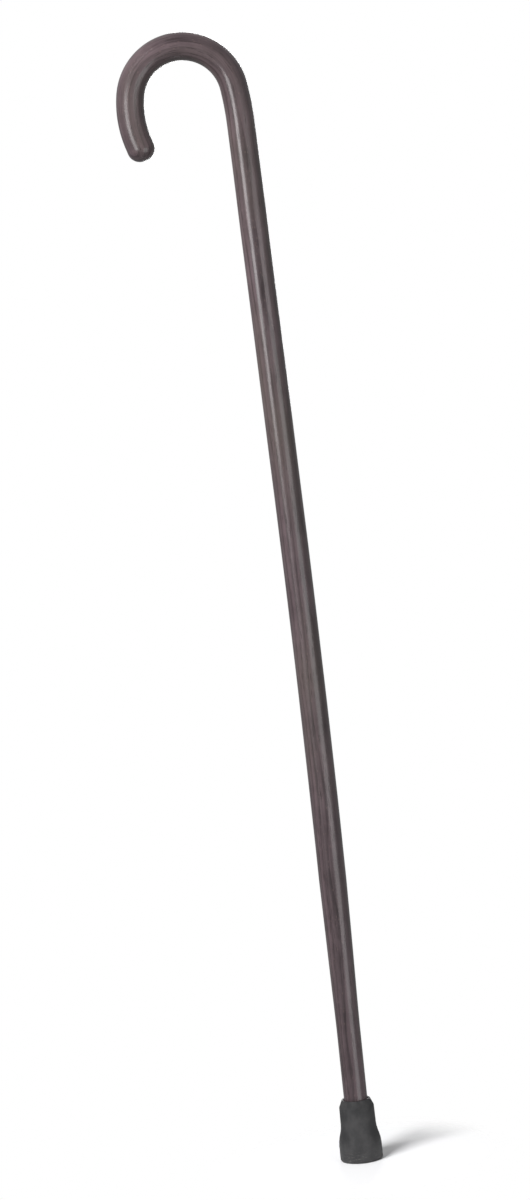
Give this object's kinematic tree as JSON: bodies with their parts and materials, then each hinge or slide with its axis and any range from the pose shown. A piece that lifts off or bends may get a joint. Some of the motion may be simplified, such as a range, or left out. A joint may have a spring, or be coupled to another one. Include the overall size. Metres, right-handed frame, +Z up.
{
  "type": "walking cane",
  "caption": "Crook-handled wooden walking cane with a slight bow and a tapered shaft, standing in a flared push-on rubber tip.",
  "frame": {"origin": "middle of the rubber tip's sole, on the ground", "axes": "+Z up along the lower shaft, the crook lies in the XZ plane with its nose towards -X, +Y away from a viewer who sees the nose on the left"},
  "size_m": [0.1238, 0.0346, 0.9144],
  "materials": {
    "stained_wood": "gloss",
    "black_rubber": "matte",
    "washer_steel": "satin"
  },
  "bodies": {
    "stick": {"wooden_stick": "stained_wood"},
    "tip": {"rubber_tip": "black_rubber", "tip_washer": "washer_steel"}
  },
  "joints": [
    {"name": "tip_pull_off", "type": "slide", "parent": "stick", "child": "tip", "axis": [0, 0, -1], "range_m": [0, 0.0415]}
  ]
}
